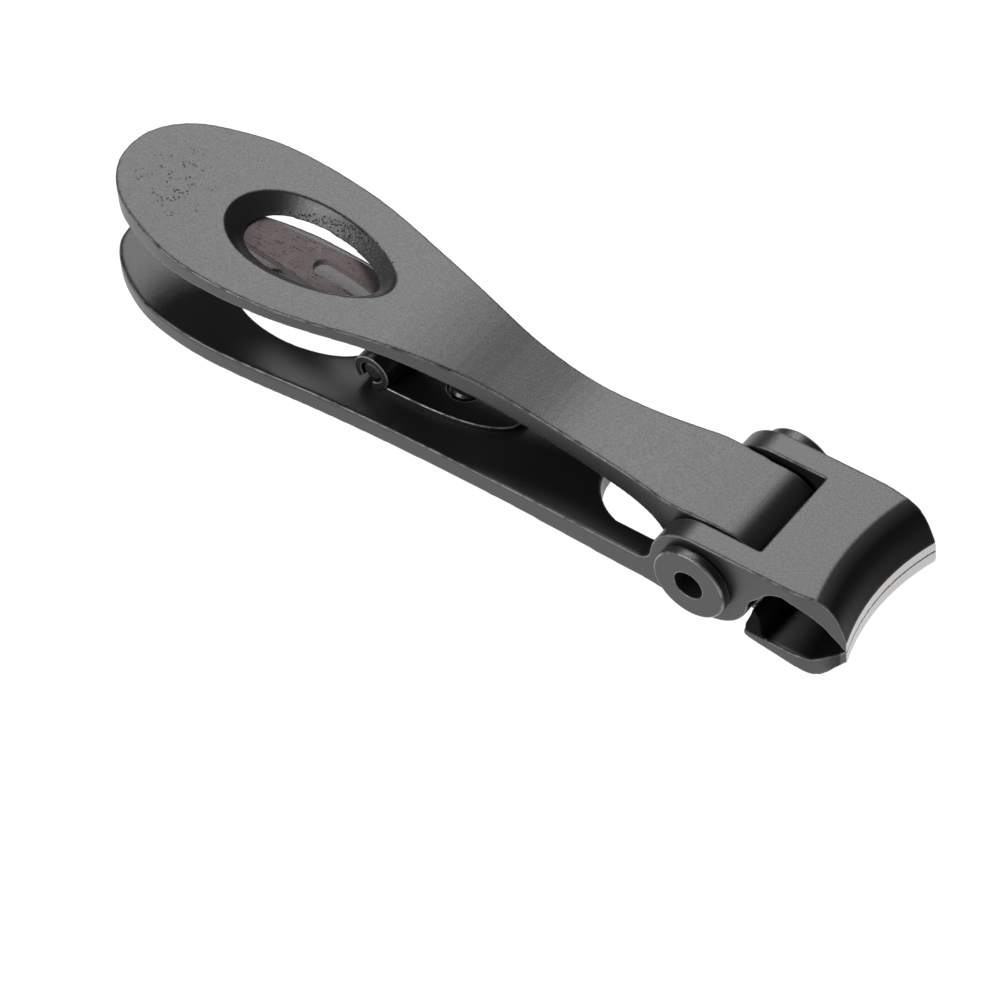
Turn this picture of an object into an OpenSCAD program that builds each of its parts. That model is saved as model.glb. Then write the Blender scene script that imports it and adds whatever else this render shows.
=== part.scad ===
// Wide jaw nail clipper of the crossed lever kind.
// The lower handle, the head and the upper jaw are one casting. The upper lever crosses
// down through the head, turns on a hollow rivet and carries the lower jaw.
// Frame: origin on the rivet axis, +X toward the cutting edge, +Z up, jaws closed.

/* [Head] */
// Width of the head across both arms
head_w = 16; // [14:0.5:20]
// Height of the flat top of the head above the rivet axis
head_top = 4.9; // [4.6:0.1:5.5]
// Width of the window between the arms
window_w = 10.8; // [10.4:0.1:11.4]
// Front wall of the window, ahead of the rivet axis
window_front = 5.8; // [5.7:0.1:6.2]
// Thickness of the upper jaw plate ahead of the window
jaw_plate_t = 1.7; // [1.4:0.05:2.1]

/* [Cutting edge] */
// Distance from the rivet axis to the middle of the cutting edge
edge_x = 15.5; // [14.5:0.1:16.5]
// Height of the seam between the two edges
seam_z = -0.5; // [-0.8:0.1:-0.2]
// Radius of the hollow of the cutting edge, seen from above
edge_r = 22.5; // [18:0.5:30]
// Width across the tips of the cutting edge
tip_w = 15; // [13:0.1:15.5]
// Gap left between the closed edges
seam_gap = 0.1; // [0.05:0.01:0.2]

/* [Lower handle] */
// Length of the lower handle behind the rivet axis
handle_len = 75.7; // [75.5:0.1:78]
// Height of the top face of the lower handle
handle_top = -1.3; // [-1.6:0.1:-1.0]
// Thickness of the lower handle
handle_t = 2.35; // [2:0.05:3]
// Length of the oval window in the lower handle
handle_hole_l = 17; // [14:0.2:19]
// Width of the oval window in the lower handle
handle_hole_w = 8.2; // [7:0.2:10]

/* [Lever] */
// Length of the lever behind the rivet axis
lever_len = 74.1; // [74:0.1:76]
// Radius of the lever hub inside the window
hub_r = 5.5; // [5.3:0.05:5.6]
// Width of the lever hub
hub_w = 9.8; // [9:0.1:10.2]
// Length of the oval window in the lever, at its top rim
lever_hole_l = 20; // [18:0.1:21]
// Width of the oval window in the lever, at its top rim
lever_hole_w = 10.1; // [8:0.1:11]
// How far the funnel wall of that window leans in for each unit of depth
funnel_lean = 0.93; // [0.6:0.01:1]

/* [Rivet] */
// Radius of the rivet flanges
flange_r = 4.05; // [3.6:0.05:4.4]
// Thickness of the rivet's own flange, on the near side
flange_t = 1.3; // [0.8:0.1:1.6]
// Thickness of the cap pressed on the far end of the rivet
cap_t = 1.6; // [0.8:0.1:1.8]
// Radius of the rivet shank
shank_r = 2.55; // [2.3:0.05:2.9]
// Radius of the hole through the rivet
hole_r = 1.6; // [1.2:0.05:1.8]
// Running clearance between the rivet and what turns on it
run_gap = 0.05; // [0.02:0.01:0.08]

/* [Spring set] */
// Distance from the rivet axis back to the roller
roller_x = 41.2; // [40:0.1:43]
// Outer radius of the curl that holds the roller
curl_r = 2.05; // [1.8:0.05:2.3]
// Thickness of the spring bracket sheet
bracket_t = 0.8; // [0.6:0.05:1]
// Width of the curl
curl_w = 9; // [8:0.2:10]
// Width of the leaf spring at its front end
leaf_w = 6.2; // [5:0.1:6.4]
// Thickness of the leaf spring
leaf_t = 0.8; // [0.6:0.05:1]
// Width of the slot in the leaf spring
slot_w = 1.9; // [1.6:0.1:2.4]
// Distance from the rivet axis back to the bracket screw
screw_x = 33; // [32:0.1:34]

/* [Hidden] */
$fn = 72;
eps = 0.01;
half_head = head_w / 2;
handle_bottom = handle_top - handle_t;
handle_front_bottom = handle_bottom - 0.5;
arm_t = (head_w - window_w) / 2;
// Axis of the turned surfaces that hollow both cutting edges
edge_axis_x = edge_x + edge_r;
curl_z = handle_top + curl_r + 0.02;
curl_in_r = curl_r - bracket_t;
roller_r = curl_in_r - 0.1;
leaf_rivet_x = 66.5;
ink = "#26272a";
worn = "#5a5350";
steel = "#b9babb";

// Points of an arc from angle a0 to a1
function arc(c, r, a0, a1, n = 12) =
    [for (i = [0:n]) let (a = a0 + (a1 - a0) * i / n) c + r * [cos(a), sin(a)]];

// One point between b and c of the smooth curve through a, b, c and d
function blend_at(a, b, c, d, t) =
    0.5 * (2 * b + (c - a) * t + (2 * a - 5 * b + 4 * c - d) * t * t
           + (3 * b - a - 3 * c + d) * t * t * t);

// Smooth curve through a short list of points, with n steps between each two
function smooth(p, n = 5) =
    let (last = len(p) - 1)
    concat(
        [for (i = [0:last - 1], k = [0:n - 1])
            blend_at(p[max(i - 1, 0)], p[i], p[i + 1], p[min(i + 2, last)], k / n)],
        [p[last]]);

function flip_y(p) = [for (i = [len(p) - 1:-1:0]) [p[i].x, -p[i].y]];

// Egg shaped outline: length l, width w, fuller at its rear
function egg(l, w, inset = 0, full = 0.15, n = 64) =
    [for (i = [0:n - 1]) let (a = 360 * i / n)
        [(l / 2 - inset) * cos(a), (w / 2 - inset) * sin(a) * (1 - full * cos(a))]];

// Half of an outline given as (distance behind the axis, half width), mirrored to a whole one
module plan(p) {
    side = [for (q = p) [-q.x, q.y]];
    polygon(concat(side, flip_y(side)));
}

// A profile in X and Z, given width w across Y
module across(w) {
    rotate([90, 0, 0]) linear_extrude(w, center = true) children();
}

module cross_cylinder(r, w) {
    rotate([90, 0, 0]) cylinder(r = r, h = w, center = true);
}

// Profile points (distance ahead of the axis at mid width, height) turned about the edge axis
module turned_jaw(p) {
    translate([edge_axis_x, 0, 0])
        rotate_extrude($fn = 240)
            polygon([for (q = p) [edge_axis_x - q.x, q.y]]);
}

// Head seen from above: parallel sides, then a slight taper to the tips
module head_plan() {
    side = smooth([[0, half_head], [8, half_head], [11, half_head], [13.4, half_head - 0.3],
                   [15.4, tip_w / 2 + 0.05], [18, tip_w / 2 - 0.05]]);
    polygon(concat(side, flip_y(side)));
}

// Plan of the lower handle
handle_side = smooth([[4, 8], [11, 8], [20, 7.9], [30, 7.95], [38, 8.1], [46, 8.45], [53, 8.95],
    [59, 9.1], [63.5, 8.7], [67.5, 7.8], [71, 6.15], [73.6, 4.2], [75.2, 2.15], [handle_len, 0]]);

// Plan of the lever
lever_side = smooth([[-6, 4.6], [0, 4.9], [5, 5.05], [8, 4.65], [12, 4.1], [18, 3.65],
    [23, 3.65], [28, 4.1], [34, 5.3], [40, 6.7], [46, 8.2], [51, 9.1], [57, 9.5], [62, 9.2],
    [66, 8.15], [69.8, 6.6], [72.3, 4.6], [73.7, 2.3], [lever_len, 0]]);

// Top and underside of the lever, seen from the side
lever_top = smooth([[-0.5, 4.4], [3, 4.5], [8, 4.55], [15, 4.6], [20, 4.95], [26, 6.05],
    [32, 7.3], [38, 8.1], [46, 8.45], [54, 8.8], [62, 9.35], [69, 10.05], [76, 10.8]]);
lever_under = smooth([[76, 7.8], [69, 7.5], [62, 7.25], [54, 7.1], [46, 6.9], [40, 6.6], [36, 6],
    [32, 5.05], [26, 3.6], [20, 2.45], [14, 1.85], [9, 1.4], [6.4, 0.4], [4.9, -1.6]]);

// Side shape of one arm with its run into the handle
arm_r = 5.2;
arm_at = [-0.2, head_top - arm_r];
fillet_r = 1.8;
fillet_z = handle_top + fillet_r;
fillet_x = arm_at.x - sqrt(pow(arm_r + fillet_r, 2) - pow(fillet_z - arm_at.y, 2));
fillet_end = atan2(arm_at.y - fillet_z, arm_at.x - fillet_x);
arm_under_r = 5.3;
arm_under_at = [0.65, 0.2];

module arm_profile() {
    polygon(concat(
        [[-12, handle_top]],
        arc([fillet_x, fillet_z], fillet_r, -90, fillet_end),
        arc(arm_at, arm_r, 180 + fillet_end, 90, 24),
        [[9.6, head_top]],
        smooth([[9.6, 3.15], [8.3, 2.55], [7.05, 1.15], [6.15, 0.2]], 3),
        arc(arm_under_at, arm_under_r, -6, -105, 24),
        smooth([[-3.4, -4.55], [-6.5, handle_front_bottom], [-12, handle_front_bottom + 0.2]], 3)));
}

// Flat bar with an oval window and a second opening where the lever crosses down
module handle_plate() {
    intersection() {
        translate([0, 0, handle_front_bottom])
            linear_extrude(handle_top - handle_front_bottom)
                difference() {
                    plan(handle_side);
                    translate([-52.8, 0])
                        polygon(egg(handle_hole_l, handle_hole_w, full = 0));
                    polygon(concat(
                        [[0, -window_w / 2], [0, window_w / 2], [-7, window_w / 2]],
                        [for (a = [90:5:270]) [-9 + 6.75 * cos(a), 5.7 * sin(a)]],
                        [[-7, -window_w / 2]]));
                }
        across(head_w + 6)
            polygon([[0, handle_top], [-44, handle_top], [-handle_len - 1, handle_top - 0.3],
                     [-handle_len - 1, handle_bottom],
                     [-25, handle_bottom], [-7, handle_front_bottom], [0, handle_front_bottom]]);
    }
}

// Plate and blade of the upper jaw, hollowed by the turned cutting edge
module upper_jaw() {
    under = head_top - jaw_plate_t;
    intersection() {
        translate([window_front, -half_head, -3])
            cube([14, head_w, 3 + head_top]);
        translate([0, 0, -3])
            linear_extrude(10) head_plan();
        turned_jaw(concat(
            [[0, head_top], [12.4, head_top]],
            smooth([[12.4, head_top], [13.65, 4.4], [14.65, 3.15], [edge_x, 0.8]], 8),
            [[edge_x, seam_z]],
            smooth([[edge_x - 0.15, seam_z], [14.3, 0.3], [13.4, 1.15], [12.2, 1.95], [10.6, 2.7],
                    [9, under]]),
            [[0, under]]));
    }
}

module handle_and_upper_jaw() {
    color(ink)
        difference() {
            union() {
                handle_plate();
                for (s = [-1, 1])
                    translate([0, s * (window_w + arm_t) / 2, 0])
                        across(arm_t) arm_profile();
                upper_jaw();
            }
            cross_cylinder(shank_r + run_gap, head_w + 2);
            translate([-screw_x, 0, handle_bottom + 0.4])
                cylinder(r = 0.85, h = handle_t);
        }
}

// The lower jaw: a scoop whose rear wall clears the arms
module lower_jaw() {
    intersection() {
        translate([0, -half_head, -8])
            cube([20, head_w, 10]);
        translate([0, 0, -8])
            linear_extrude(10) head_plan();
        union() {
            turned_jaw(concat(
                [[8, -4.25], [10, -4.2]],
                smooth([[11.5, -4.1], [12.5, -3.4], [14.2, -1.8], [edge_x - 0.15, seam_z - seam_gap]]),
                [[edge_x, seam_z - seam_gap], [edge_x, -2]],
                smooth([[edge_x, -2], [14.1, -3.85], [12.95, -5.35], [12.1, -5.95]], 4),
                smooth([[12.1, -5.95], [11.6, -6.15], [10.9, -6.15]], 3),
                [[8, -5.65]]));
            across(head_w)
                polygon([[9.5, -4.25], [9.5, -5.7], [7.1, -5.35], [5.75, -5.08], [5.4, -4.95],
                         [5.25, -4.7], [5.25, -4.3]]);
        }
    }
}

// Upright wall behind the scoop, joined to the hub between the arms
module scoop_wall() {
    intersection() {
        across(head_w)
            polygon([[6.4, -0.6], [6.9, -0.75], [7.2, -1.3], [7.4, -3.6], [8.1, -4.4], [5.5, -4.9],
                     [5.25, -4.7], [5.22, -4.2], [5.4, -3.4], [5.8, -2.5], [6.2, -1.4]]);
        translate([0, 0, -8])
            linear_extrude(10)
                polygon(concat(
                    arc([5.8, 7.4], 0.6, 180, 90, 6),
                    [[9, 8], [9, -8]],
                    arc([5.8, -7.4], 0.6, 270, 180, 6)));
    }
    across(hub_w)
        polygon([[1.5, -5.2], [5.4, -0.5], [6.4, -0.6], [7.3, -3.5], [6, -5.1], [4.6, -5]]);
}

// The lever plate: its plan cut to its side profile
module lever_plate() {
    outline = concat(lever_top, lever_under);
    intersection() {
        translate([0, 0, -8])
            linear_extrude(20) plan(lever_side);
        across(head_w + 6)
            polygon([for (q = outline) [-q.x, q.y]]);
    }
}

// Funnel shaped cut for the lever's window, leaning in more at its front; its rim is at rim_z
module lever_window() {
    rim_z = 8.75;
    translate([-50.75, 0, 0])
        hull()
            for (z = [6.6, 9.7])
                translate([(z - rim_z) * 0.27, 0, z])
                    linear_extrude(eps)
                        polygon(egg(lever_hole_l + (z - rim_z) * 0.5, lever_hole_w,
                                    (rim_z - z) * funnel_lean));
}

// Hub between the arms, its top rolled over to meet the lever's top face
module lever_hub() {
    intersection() {
        cross_cylinder(hub_r, hub_w);
        across(hub_w)
            polygon(concat(
                [[-7, 4.4], [-7, -7], [7, -7], [7, 0], [5, 2.6]],
                smooth([[4.5, 3.1], [3.8, 3.7], [3, 4.12], [2, 4.33], [0.8, 4.4]], 3)));
    }
}

module lever_and_lower_jaw() {
    color(ink)
        difference() {
            union() {
                lever_plate();
                lever_hub();
                scoop_wall();
                lower_jaw();
            }
            cross_cylinder(shank_r + run_gap, head_w + 2);
            lever_window();
            translate([-leaf_rivet_x, 0, 6])
                cylinder(r = 0.8, h = 2.6);
        }
}

module pivot_rivet() {
    color(ink)
        difference() {
            union() {
                rotate([90, 0, 0])
                    translate([0, 0, half_head])
                        rotate_extrude()
                            polygon([[0, 0], [flange_r - 0.25, 0], [flange_r - 0.25, 0.3],
                                     [flange_r, 0.3], [flange_r, flange_t - 0.15],
                                     [flange_r - 0.15, flange_t], [0, flange_t]]);
                translate([0, flange_t / 4, 0])
                    cross_cylinder(shank_r, head_w + flange_t / 2);
            }
            cross_cylinder(hole_r, head_w + 4);
        }
}

module pivot_rivet_cap() {
    color(ink)
        difference() {
            rotate([-90, 0, 0])
                translate([0, 0, half_head])
                    rotate_extrude()
                        polygon([[0, 0], [flange_r - 0.25, 0], [flange_r - 0.25, 0.3],
                                 [flange_r, 0.3], [flange_r, cap_t - 0.15],
                                 [flange_r - 0.15, cap_t], [0, cap_t]]);
            cross_cylinder(hole_r, head_w + 4);
            cross_cylinder(shank_r, head_w + flange_t);
        }
}

// Tongue shaped plate whose rear end curls up round the roller
module spring_bracket() {
    tongue = smooth([[roller_x - 1, curl_w / 2 - 0.05], [37, 4.4], [33.3, 4.2], [30, 3.7],
                     [27.6, 2.9], [26, 1.7], [25.5, 0]]);
    color(ink)
        difference() {
            union() {
                translate([0, 0, handle_top])
                    linear_extrude(bracket_t) plan(tongue);
                translate([-roller_x, 0, curl_z])
                    across(curl_w)
                        difference() {
                            circle(r = curl_r);
                            circle(r = curl_in_r);
                            polygon([[0, 0], 4 * [cos(222), sin(222)], 4 * [cos(270), sin(270)]]);
                        }
            }
            translate([-roller_x, 0, curl_z])
                cross_cylinder(curl_in_r, curl_w + 2);
            translate([-screw_x, 0, handle_top - 1])
                cylinder(r = 0.95, h = 3);
            translate([-screw_x, 0, handle_top + 0.35])
                cylinder(r = 1.9, h = 3);
        }
}

module bracket_screw() {
    head_h = 0.7;
    head_z = handle_top + 0.35;
    color(steel)
        difference() {
            union() {
                translate([-screw_x, 0, head_z])
                    rotate_extrude()
                        polygon([[0, 0], [1.5, 0], [1.5, 0.35], [1.2, 0.6], [0.7, head_h], [0, head_h]]);
                translate([-screw_x, 0, handle_bottom + 0.6])
                    cylinder(r = 0.8, h = head_z - handle_bottom - 0.6 + eps);
            }
            for (a = [30, 120])
                translate([-screw_x, 0, head_z + head_h])
                    rotate([0, 0, a])
                        cube([1.7, 0.35, 0.8], center = true);
        }
}

module roller_pin() {
    color(steel)
        translate([-roller_x, 0, curl_z])
            rotate([90, 0, 0])
                rotate_extrude()
                    polygon(concat(
                        [[0, -4.35]],
                        arc([roller_r - 0.4, -3.95], 0.4, -90, 0, 6),
                        arc([roller_r - 0.4, 3.95], 0.4, 0, 90, 6),
                        [[0, 4.35]]));
}

// Leaf spring under the lever, bent down to bear on the curl, wider towards its front
module leaf_spring() {
    top = smooth([[69.8, 7.46], [66.5, 7.36], [62, 7.17], [58.5, 6.98], [54, 6.7], [50, 6.38],
                  [46.8, 5.9], [43.8, 4.75], [41.2, 3.84], [39.2, 4.05], [37.6, 4.6]]);
    under = [for (i = [len(top) - 1:-1:0]) [top[i].x, top[i].y - leaf_t]];
    side = smooth([[37, leaf_w / 2], [46, leaf_w / 2 - 0.1], [50, leaf_w / 2 - 0.5],
                   [58.5, leaf_w / 2 - 1.15], [67, leaf_w / 2 - 1.3], [68.8, 1.2], [69.4, 0]]);
    color(worn)
        difference() {
            intersection() {
                across(leaf_w + 1)
                    polygon([for (q = concat(top, under)) [-q.x, q.y]]);
                linear_extrude(10) plan(side);
            }
            for (x = [50.2, 43.5])
                translate([-x, 0, 0])
                    cylinder(r = slot_w / 2, h = 9);
            translate([-50.2, -slot_w / 2, 0])
                cube([6.7, slot_w, 9]);
            translate([-leaf_rivet_x, 0, 4])
                cylinder(r = 0.8, h = 6);
        }
}

module leaf_rivet() {
    head_z = 6.48;
    color(steel)
        translate([-leaf_rivet_x, 0, head_z])
            rotate_extrude()
                polygon([[0, -0.8], [0.9, -0.75], [1.4, -0.4], [1.5, -0.05], [1.4, 0], [0.78, 0],
                         [0.78, 1.9], [0, 1.9]]);
}

handle_and_upper_jaw();
lever_and_lower_jaw();
pivot_rivet();
pivot_rivet_cap();
spring_bracket();
bracket_screw();
roller_pin();
leaf_spring();
leaf_rivet();
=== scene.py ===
"""Looks of a wide jaw nail clipper: satin black castings, a hollow rivet and a spring set.

Every piece is a finer copy of its CAD node: the node's own shape, remeshed densely so that its
edges can be rounded the way cast and tumbled metal is, then finished with a procedural material.
Lengths in the constants are millimetres unless a name says otherwise.
"""
import math

import bpy
import numpy as np
from mathutils import Matrix, Vector


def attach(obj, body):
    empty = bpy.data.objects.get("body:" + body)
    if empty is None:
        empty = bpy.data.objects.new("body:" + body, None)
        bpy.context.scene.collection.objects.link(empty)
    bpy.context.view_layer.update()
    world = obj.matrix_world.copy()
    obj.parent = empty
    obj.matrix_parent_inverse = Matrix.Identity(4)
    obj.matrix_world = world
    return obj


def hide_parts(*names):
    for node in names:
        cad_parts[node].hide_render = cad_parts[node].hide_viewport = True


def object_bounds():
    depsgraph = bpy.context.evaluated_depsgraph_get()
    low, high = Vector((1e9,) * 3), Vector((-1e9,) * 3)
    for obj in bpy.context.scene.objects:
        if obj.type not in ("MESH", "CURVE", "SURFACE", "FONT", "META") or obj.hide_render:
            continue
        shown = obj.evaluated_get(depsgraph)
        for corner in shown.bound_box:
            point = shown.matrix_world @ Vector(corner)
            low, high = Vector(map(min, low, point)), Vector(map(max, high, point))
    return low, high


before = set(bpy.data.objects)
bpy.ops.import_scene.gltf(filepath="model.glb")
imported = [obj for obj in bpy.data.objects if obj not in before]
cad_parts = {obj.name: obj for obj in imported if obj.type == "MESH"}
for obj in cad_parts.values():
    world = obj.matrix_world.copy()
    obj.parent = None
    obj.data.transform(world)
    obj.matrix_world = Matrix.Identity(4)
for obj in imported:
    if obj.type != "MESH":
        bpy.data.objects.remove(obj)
cad_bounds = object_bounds()

MM = 0.001

# Camera, as turn and height angles round the aim point
CAMERA_AZIMUTH = 40.84
CAMERA_ELEVATION = 48.53
CAMERA_ROLL = -5.725
CAMERA_DISTANCE = 516.2
CAMERA_AIM = Vector((-21.14, -10.42, 0.0))
SENSOR_MM = 36.0
FOCAL_SHARE = 5.395

# Sideways set of each half, from play in the rivet
LEVER_YAW = 0.0048
HANDLE_YAW = -0.0015

# Cutting edges: both are turned round this upright axis
EDGE_AXIS_X = 38.0
EDGE_R = 22.5
GROUND_TOP = 0.68
SEAM_Z = -0.55
GROUND_BOTTOM = -2.1
CRISP_REACH = 0.6
CRISP_INSET = 0.4
SEAM_REACH = 0.16
SEAM_SHARE = 0.85
SEAM_MOVE = 0.043

# Finer copies of the CAD nodes
WELD_DISTANCE = 0.0005
TAIL_PASSES = 44
PROBE_PASSES = 16
YAW_FROM = 8.0

# Window of the lever, round which the casting skin is pitted
WINDOW_X = -50.65
WINDOW_Y = 0.32
WINDOW_HALF_LENGTH = 9.6
WINDOW_HALF_WIDTH = 4.85

# Place of the gas pores on the lever's tail
PORES_AT = (-67.0, -1.0, 10.0)

FLOOR_DROP = 5.5
FLOOR_GLOW = 0.985


# ---------------------------------------------------------------- meshes

def link(obj):
    bpy.context.scene.collection.objects.link(obj)
    return obj


def baked(obj):
    """Puts the result of obj's modifiers into its mesh."""
    graph = bpy.context.evaluated_depsgraph_get()
    mesh = bpy.data.meshes.new_from_object(obj.evaluated_get(graph))
    obj.modifiers.clear()
    obj.data = mesh
    return obj


def crisp_weight(co):
    """0 on the cutting edges, which stay sharp, and 1 elsewhere. co is in millimetres."""
    reach = math.hypot(co.x - EDGE_AXIS_X, co.y)
    if reach < EDGE_R + CRISP_REACH and GROUND_BOTTOM + CRISP_INSET < co.z < GROUND_TOP - CRISP_INSET:
        return 0.0
    return 1.0


def tail_weight(co):
    """1 on the upper half of the handle's rear, whose edges are rounded more. Millimetres."""
    along = min(1.0, max(0.0, (-co.x - 34.0) / 12.0))
    up = min(1.0, max(0.0, (co.z + 3.1) / 0.9))
    return along * up


def weighted_smooth(obj, name, weight, passes):
    group = obj.vertex_groups.new(name=name)
    for v in obj.data.vertices:
        w = weight(v.co)
        if w > 0:
            group.add([v.index], w, "REPLACE")
    smooth = obj.modifiers.new(name, "SMOOTH")
    smooth.factor = 0.5
    smooth.iterations = passes
    smooth.vertex_group = name


def close_seam(mesh):
    """Brings the honed edges nearly together; the CAD keeps a running gap there."""
    for v in mesh.vertices:
        off = v.co.z - SEAM_Z
        if crisp_weight(v.co) == 0 and abs(off) < SEAM_REACH:
            v.co.z -= math.copysign(min(abs(off) * SEAM_SHARE, SEAM_MOVE), off)


def mark_edges(obj):
    """Stores how far each vertex stands out from its smoothed surroundings, in mm."""
    count = len(obj.data.vertices)
    here, there, normal = (np.empty(count * 3, np.float32) for _ in range(3))
    obj.data.vertices.foreach_get("co", here)
    obj.data.vertices.foreach_get("normal", normal)
    probe = obj.modifiers.new("probe", "SMOOTH")
    probe.factor = 0.5
    probe.iterations = PROBE_PASSES
    graph = bpy.context.evaluated_depsgraph_get()
    obj.evaluated_get(graph).data.vertices.foreach_get("co", there)
    obj.modifiers.clear()
    stand = ((here - there) * normal).reshape(-1, 3).sum(axis=1)
    obj.data.attributes.new("stands_out", "FLOAT", "POINT").data.foreach_set("value", stand)


def softened(node, body, voxel, passes, edges="plain", yaw=0.0):
    """A dense copy of a CAD node with its edges rounded, riding on body in the node's place.

    yaw is the small sideways set that play in the rivet gives the piece, in mm for each mm
    behind the head.
    """
    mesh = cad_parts[node].data.copy()
    mesh.transform(Matrix.Scale(1 / MM, 4))
    obj = link(bpy.data.objects.new("fine_" + node, mesh))
    weld = obj.modifiers.new("weld", "WELD")
    weld.merge_threshold = WELD_DISTANCE
    remesh = obj.modifiers.new("remesh", "REMESH")
    remesh.mode = "VOXEL"
    remesh.voxel_size = voxel
    baked(obj)
    if edges == "cutting":
        weighted_smooth(obj, "soften", crisp_weight, passes)
    else:
        weighted_smooth(obj, "soften", lambda co: 1.0, passes)
    if node == "handle_and_upper_jaw":
        weighted_smooth(obj, "tail", tail_weight, TAIL_PASSES)
    baked(obj)
    if edges == "cutting":
        close_seam(obj.data)
    mark_edges(obj)
    if yaw:
        for v in obj.data.vertices:
            v.co.y += yaw * max(0.0, -v.co.x - YAW_FROM)
    obj.data.transform(Matrix.Scale(MM, 4))
    obj.data.shade_smooth()
    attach(obj, body)
    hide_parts(node)
    return obj


# ---------------------------------------------------------------- materials

class Nodes:
    """A short way to build a material's node tree."""

    def __init__(self, name):
        self.material = bpy.data.materials.new(name)
        self.material.use_nodes = True
        self.tree = self.material.node_tree
        self.shader = self.tree.nodes["Principled BSDF"]
        where = self.tree.nodes.new("ShaderNodeTexCoord")
        self.place = self.vector("MULTIPLY", where.outputs["Object"], (1 / MM,) * 3)

    def put(self, socket, value):
        if isinstance(value, bpy.types.NodeSocket):
            self.tree.links.new(value, socket)
        else:
            socket.default_value = value

    def vector(self, operation, a, b):
        n = self.tree.nodes.new("ShaderNodeVectorMath")
        n.operation = operation
        self.put(n.inputs[0], a)
        self.put(n.inputs[1], b)
        return n.outputs["Value"] if operation == "LENGTH" else n.outputs["Vector"]

    def math(self, operation, a, b=0.0):
        n = self.tree.nodes.new("ShaderNodeMath")
        n.operation = operation
        self.put(n.inputs[0], a)
        self.put(n.inputs[1], b)
        return n.outputs[0]

    def span(self, value, low, high, to_low=0.0, to_high=1.0):
        n = self.tree.nodes.new("ShaderNodeMapRange")
        n.interpolation_type = "SMOOTHSTEP"
        for name, v in (("Value", value), ("From Min", low), ("From Max", high),
                        ("To Min", to_low), ("To Max", to_high)):
            self.put(n.inputs[name], v)
        return n.outputs["Result"]

    def noise(self, scale, detail=3.0, rough=0.5, place=None):
        n = self.tree.nodes.new("ShaderNodeTexNoise")
        self.put(n.inputs["Vector"], place or self.place)
        n.inputs["Scale"].default_value = scale
        n.inputs["Detail"].default_value = detail
        n.inputs["Roughness"].default_value = rough
        return n.outputs["Fac"]

    def cells(self, scale):
        n = self.tree.nodes.new("ShaderNodeTexVoronoi")
        self.put(n.inputs["Vector"], self.place)
        n.inputs["Scale"].default_value = scale
        return n.outputs["Distance"]

    def mix(self, factor, a, b):
        n = self.tree.nodes.new("ShaderNodeMix")
        n.data_type = "RGBA"
        self.put(n.inputs["Factor"], factor)
        self.put(n.inputs[6], a)
        self.put(n.inputs[7], b)
        return n.outputs[2]

    def axes(self):
        n = self.tree.nodes.new("ShaderNodeSeparateXYZ")
        self.put(n.inputs[0], self.place)
        return n.outputs

    def raised_edges(self, low, high):
        """1 on outward edges, 0 on flats and in corners."""
        n = self.tree.nodes.new("ShaderNodeAttribute")
        n.attribute_name = "stands_out"
        return self.span(n.outputs["Fac"], low, high)

    def bump(self, height, distance, strength=1.0):
        n = self.tree.nodes.new("ShaderNodeBump")
        n.inputs["Strength"].default_value = strength
        n.inputs["Distance"].default_value = distance * MM
        self.put(n.inputs["Height"], height)
        self.put(self.shader.inputs["Normal"], n.outputs["Normal"])

    def finish(self, **sockets):
        for name, value in sockets.items():
            self.put(self.shader.inputs[name.replace("_", " ")], value)
        return self.material


def grey(v, warm=0.0):
    return (v * (1 + warm), v, v * (1 - warm * 0.6), 1.0)


def edge_reach(n):
    """Distance from the upright axis that the cutting edges are turned round."""
    x, y, _ = n.axes()
    flat = n.tree.nodes.new("ShaderNodeCombineXYZ")
    n.put(flat.inputs[0], n.math("SUBTRACT", x, EDGE_AXIS_X))
    n.put(flat.inputs[1], y)
    return n.vector("LENGTH", flat.outputs[0], (0, 0, 0))


def front_face(n):
    """1 on the curved front face of the upper jaw, above its ground facet."""
    _, y, z = n.axes()
    near = n.math("MULTIPLY", n.span(edge_reach(n), EDGE_R + 2.6, EDGE_R + 2.2), n.span(z, 4.6, 4.1))
    near = n.math("MULTIPLY", near, n.span(n.math("ABSOLUTE", y), 7.5, 7.2))
    return n.math("MULTIPLY", near, n.span(z, GROUND_TOP - 0.1, GROUND_TOP + 0.1))


def ground_facet(n):
    """1 on the bare ground facets of the two cutting edges."""
    z = n.axes()[2]
    reach = edge_reach(n)
    near = n.span(reach, EDGE_R + 0.10, EDGE_R + 0.05)
    low = n.span(z, GROUND_BOTTOM - 0.02, GROUND_BOTTOM + 0.04)
    high = n.span(z, GROUND_TOP + 0.02, GROUND_TOP - 0.06)
    return n.math("MULTIPLY", n.math("MULTIPLY", near, low), high)


def funnel_wall(n):
    """1 on the leaning wall of the lever's window, where the casting skin is open and pitted; its
    colour is also lightened there as a painted highlight.
    """
    x, y, z = n.axes()
    spot = n.tree.nodes.new("ShaderNodeCombineXYZ")
    n.put(spot.inputs[0], n.math("DIVIDE", n.math("SUBTRACT", x, WINDOW_X), WINDOW_HALF_LENGTH))
    n.put(spot.inputs[1], n.math("DIVIDE", n.math("SUBTRACT", y, WINDOW_Y), WINDOW_HALF_WIDTH))
    reach = n.vector("LENGTH", spot.outputs[0], (0, 0, 0))
    inside = n.span(reach, 0.95, 0.88)
    return n.math("MULTIPLY", inside, n.span(z, 6.2, 6.8))


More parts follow.
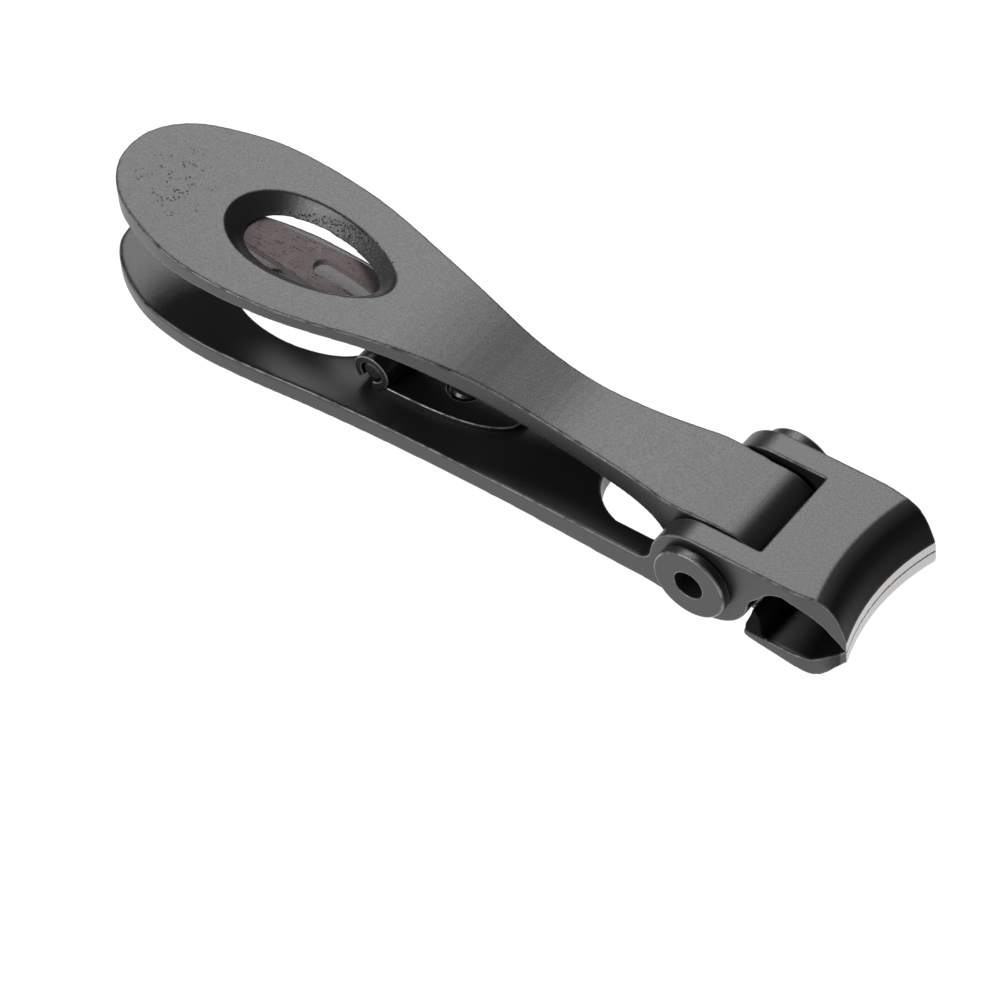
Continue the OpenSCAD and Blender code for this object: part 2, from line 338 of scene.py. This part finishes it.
def jaw_hollow_shade(n):
    """1 inside the scoop and under the upper jaw plate, where the colour is darkened as painted shade
    and the surface made rougher and duller.
    """
    x, y, z = n.axes()
    side = n.math("ABSOLUTE", y)
    flat = n.vector("MULTIPLY", n.place, (1.0, 0.0, 1.0))
    clear_of_arms = n.span(n.vector("LENGTH", flat, (0, 0, 0)), 5.9, 6.2)
    behind_edge = n.span(edge_reach(n), EDGE_R + 0.5, EDGE_R + 0.9)
    # The jaw plate hides the hollow's top, except at its open sides
    top = n.span(side, 7.2, 7.6, 2.9, -0.1)
    deep = n.math("MULTIPLY", n.span(n.math("SUBTRACT", top, z), 0.0, 0.5), n.span(z, -4.4, -4.0))
    # The scoop narrows where the hub ends
    half_width = n.span(x, 7.3, 8.1, 8.7, 7.75)
    inside = n.span(n.math("SUBTRACT", half_width, side), 0.0, 0.4)
    where = n.math("MULTIPLY", n.math("MULTIPLY", clear_of_arms, behind_edge), n.span(x, 1.0, 2.0))
    return n.math("MULTIPLY", n.math("MULTIPLY", where, deep), inside)


def handle_under_lever_shade(n):
    """1 on the handle's top face ahead of the spring, under the lever, where a lowered specular level
    is painted shade.
    """
    x, y, z = n.axes()
    along = n.math("MULTIPLY", n.span(x, -30.0, -20.0), n.span(x, -4.5, -6.5))
    top = n.math("MULTIPLY", n.span(z, -0.9, -1.1), n.span(z, -1.9, -1.7))
    return n.math("MULTIPLY", n.math("MULTIPLY", along, top), n.span(n.math("ABSOLUTE", y), 8.0, 7.5))


def tail_pores(n):
    """Faint near the end of the lever's top face, where a few gas pores show."""
    gap = n.vector("SUBTRACT", n.place, PORES_AT)
    few = n.span(n.noise(0.7, 1.0), 0.52, 0.60, 0.0, 0.3)
    return n.math("MULTIPLY", n.span(n.vector("LENGTH", gap, (0, 0, 0)), 6.5, 2.0), few)


def black_coating(name, base=0.016, edge_wear_and_highlight=0.5, wear_and_highlight_from=0.009, facets=False):
    """Satin black coating: fine grain, and lighter edges that are partly rubbed wear and partly
    painted highlight lines.

    facets adds what only the castings have: the ground edges, the pitted wall lightened with a
    painted highlight, the hollows darkened with painted shade and the handle top under the lever
    dulled as painted shade.
    """
    n = Nodes(name)
    mottle = n.noise(0.5, 5.0, 0.6)
    grain = n.noise(4.5, 4.0, 0.65)
    fine = n.noise(14.0, 2.0, 0.5)
    edge = n.raised_edges(wear_and_highlight_from, wear_and_highlight_from * 1.6)
    edge_lightening = n.math("MULTIPLY", edge, n.span(n.noise(0.8, 5.0), 0.30, 0.55))
    chips = n.math("MULTIPLY", edge, n.span(n.noise(2.0, 3.0), 0.64, 0.70))
    bare_and_highlight = n.math("MAXIMUM", n.math("MULTIPLY", edge_lightening, edge_wear_and_highlight), n.math("MULTIPLY", chips, 0.9))
    if facets:
        face = front_face(n)
        bare_and_highlight = n.math("MULTIPLY", bare_and_highlight, n.span(face, 0.0, 1.0, 1.0, 0.0))
    colour = n.mix(mottle, grey(base * 0.9, 0.01), grey(base * 1.12, 0.02))
    # Lighter edges: partly real rubbed wear and chips, partly painted highlight lines along the
    # rounded edges
    colour = n.mix(bare_and_highlight, colour, grey(0.30, 0.02))
    rough = n.span(grain, 0.3, 0.7, 0.33, 0.40)
    metal = n.math("MULTIPLY", bare_and_highlight, 0.7)
    shine = 0.5
    height = n.math("ADD", n.math("MULTIPLY", grain, 0.6), n.math("MULTIPLY", fine, 0.4))
    if facets:
        wall = funnel_wall(n)
        pits = n.span(n.cells(3.0), 0.42, 0.18)
        pits = n.math("MULTIPLY", pits, n.span(n.noise(0.9, 2.0), 0.36, 0.48))
        pits = n.math("MULTIPLY", pits, n.math("MAXIMUM", wall, tail_pores(n)))
        height = n.math("SUBTRACT", height, n.math("MULTIPLY", pits, 9.0))
        open_skin = n.math("MULTIPLY", n.noise(3.4, 3.0), 5.0)
        height = n.math("ADD", height, n.math("MULTIPLY", wall, open_skin))
        colour = n.mix(pits, colour, grey(0.006))
        streaks = n.noise(1.0, 4.0, 0.6, n.vector("MULTIPLY", n.place, (9.0, 9.0, 0.8)))
        # Painted highlight: the window's leaning wall is lightened for the light it catches; its pits
        # and open skin are real
        colour = n.mix(wall, colour, grey(base * 2.6, 0.01))
        # Painted shade: the scoop and the underside of the jaw plate are darkened almost to black
        hollow = jaw_hollow_shade(n)
        colour = n.mix(hollow, colour, grey(base * 0.15))
        # The lowered specular level is painted shade on the hollow and on the handle top under the
        # lever; the upper jaw's front face is dulled too
        dull = n.math("MAXIMUM", hollow, n.math("MULTIPLY", face, 0.9))
        dull = n.math("MAXIMUM", dull, n.math("MULTIPLY", handle_under_lever_shade(n), 0.85))
        shine = n.span(dull, 0.0, 1.0, 0.5, 0.08)
        rough = n.math("ADD", rough, n.math("MULTIPLY", hollow, 0.45))
        steel = n.mix(streaks, grey(0.40, 0.03), grey(0.60, 0.02))
        mask = ground_facet(n)
        colour = n.mix(mask, colour, steel)
        rough = n.math("ADD", rough, n.math("MULTIPLY", mask, -0.06))
        metal = n.math("MAXIMUM", metal, mask)
    n.bump(height, 0.018, 0.6)
    return n.finish(Base_Color=colour, Roughness=rough, Metallic=metal, IOR=1.62,
                    Specular_IOR_Level=shine)


def worn_sheet(name):
    """Dull spring sheet whose black has gone brown and patchy."""
    n = Nodes(name)
    large = n.noise(0.8, 6.0, 0.7)
    fine = n.noise(5.0, 5.0, 0.7)
    cracks = n.noise(1.0, 5.0, 0.7, n.vector("MULTIPLY", n.place, (1.0, 4.0, 4.0)))
    specks = n.math("MAXIMUM", n.span(n.cells(2.2), 0.20, 0.08), n.span(cracks, 0.60, 0.68))
    colour = n.mix(large, (0.110, 0.083, 0.086, 1), (0.225, 0.176, 0.180, 1))
    colour = n.mix(n.math("MULTIPLY", specks, 0.7), colour, grey(0.02, 0.1))
    colour = n.mix(n.span(fine, 0.58, 0.72), colour, (0.20, 0.17, 0.17, 1))
    n.bump(n.math("SUBTRACT", fine, specks), 0.05, 0.8)
    return n.finish(Base_Color=colour, Roughness=n.span(large, 0.3, 0.7, 0.5, 0.68), Metallic=0.25)


def dark_steel(name):
    """Turned steel with a thin black oxide, brighter where it rubs."""
    n = Nodes(name)
    swirl = n.noise(3.0, 4.0, 0.6)
    edge_lightening = n.math("MULTIPLY", n.raised_edges(0.008, 0.02), n.span(swirl, 0.35, 0.6))
    colour = n.mix(swirl, grey(0.05, 0.02), grey(0.12, 0.05))
    colour = n.mix(edge_lightening, colour, grey(0.5, 0.03))
    n.bump(n.noise(9.0), 0.01, 0.5)
    return n.finish(Base_Color=colour, Roughness=n.span(swirl, 0.3, 0.7, 0.24, 0.36), Metallic=0.85)


def pale_floor(name):
    """White studio table, mostly self lit. The part ahead of the jaws gives them less light."""
    n = Nodes(name)
    tone = n.noise(0.01, 2.0)
    x, y, _ = n.axes()
    away = n.math("ADD", n.math("MULTIPLY", x, 0.6), n.math("MULTIPLY", y, 0.8))
    given = n.span(away, 22.0, 55.0, 1.0, 0.12)
    ray = n.tree.nodes.new("ShaderNodeLightPath").outputs["Is Camera Ray"]
    glow = n.math("MULTIPLY", n.math("MAXIMUM", ray, given), FLOOR_GLOW)
    n.shader.inputs["Emission Color"].default_value = (1, 1, 1, 1)
    return n.finish(Base_Color=n.mix(tone, grey(0.14), grey(0.16)), Roughness=0.9,
                    Emission_Strength=glow, Specular_IOR_Level=0.0)


# ---------------------------------------------------------------- pieces

def dress(obj, material):
    obj.data.materials.clear()
    obj.data.materials.append(material)


def build_pieces():
    casting = black_coating("black_casting", facets=True)
    rivet = black_coating("black_rivet", base=0.018, edge_wear_and_highlight=0.8, wear_and_highlight_from=0.009)
    sheet = black_coating("black_sheet", base=0.006, edge_wear_and_highlight=1.0, wear_and_highlight_from=0.010)
    steel = dark_steel("dark_steel")
    leaf = worn_sheet("worn_leaf")
    # node, body, voxel size, smoothing passes, edges, sideways set, material, slot
    plan = (
        ("handle_and_upper_jaw", "lower_handle", 0.085, 26, "cutting", HANDLE_YAW, casting,
         "black_coating"),
        ("lever_and_lower_jaw", "lever", 0.085, 26, "cutting", LEVER_YAW, casting, "black_coating"),
        ("pivot_rivet", "lower_handle", 0.08, 5, "plain", 0, rivet, "black_rivet"),
        ("pivot_rivet_cap", "lower_handle", 0.08, 5, "plain", 0, rivet, "black_rivet"),
        ("spring_bracket", "lower_handle", 0.07, 8, "plain", HANDLE_YAW, sheet,
         "black_spring_sheet"),
        ("bracket_screw", "lower_handle", 0.04, 3, "plain", HANDLE_YAW, steel, "dark_steel"),
        ("roller_pin", "roller", 0.05, 4, "plain", 0, steel, "dark_steel"),
        ("leaf_spring", "lever", 0.07, 6, "plain", LEVER_YAW, leaf, "worn_spring_steel"),
        ("leaf_rivet", "lever", 0.05, 3, "plain", LEVER_YAW, steel, "dark_steel"),
    )
    for node, body, voxel, passes, edges, yaw, material, slot in plan:
        dress(softened(node, body, voxel, passes, edges, yaw), material)


# ---------------------------------------------------------------- studio

def build_floor():
    """The floor lies low enough for the lower jaw to swing down when the clipper opens."""
    bpy.ops.mesh.primitive_plane_add(size=4.0, location=(0, 0, cad_bounds[0][2] - FLOOR_DROP * MM))
    floor = bpy.context.object
    floor.name = "studio_floor"
    floor.data.materials.append(pale_floor("studio_white"))


def area_light(name, place, aim, size, power):
    """place, aim and size in millimetres, power in watts."""
    data = bpy.data.lights.new(name, "AREA")
    data.shape = "RECTANGLE"
    data.size, data.size_y = (s * MM for s in size)
    data.energy = power
    lamp = link(bpy.data.objects.new(name, data))
    lamp.location = Vector(place) * MM
    lamp.rotation_euler = (Vector(aim) - Vector(place)).to_track_quat("-Z", "Y").to_euler()


def build_lights():
    world = bpy.data.worlds.new("studio")
    world.use_nodes = True
    world.node_tree.nodes["Background"].inputs["Color"].default_value = (0.11, 0.11, 0.11, 1)
    world.node_tree.nodes["Background"].inputs["Strength"].default_value = 1.0
    bpy.context.scene.world = world
    area_light("top_softbox", (-300, 375, 545), (-25, 0, 5), (370, 330), 2.25)
    area_light("near_fill", (-300, -520, 360), (-20, 0, 0), (320, 220), 2.0)


def build_camera():
    a, e, r = (math.radians(v) for v in (CAMERA_AZIMUTH, CAMERA_ELEVATION, CAMERA_ROLL))
    back = Vector((math.sin(a) * math.cos(e), -math.cos(a) * math.cos(e), math.sin(e)))
    flat_right = Vector((math.cos(a), math.sin(a), 0))
    flat_up = back.cross(flat_right)
    right = flat_right * math.cos(r) + flat_up * math.sin(r)
    up = back.cross(right)
    data = bpy.data.cameras.new("camera")
    data.sensor_width = SENSOR_MM
    data.lens = SENSOR_MM * FOCAL_SHARE
    data.clip_start = 0.01
    data.clip_end = 20.0
    camera = link(bpy.data.objects.new("camera", data))
    turn = Matrix((right, up, back)).transposed().to_4x4()
    camera.matrix_world = Matrix.Translation((CAMERA_AIM + back * CAMERA_DISTANCE) * MM) @ turn
    bpy.context.scene.camera = camera


bpy.context.scene.view_settings.view_transform = "Standard"
build_camera()
build_pieces()
build_floor()
build_lights()
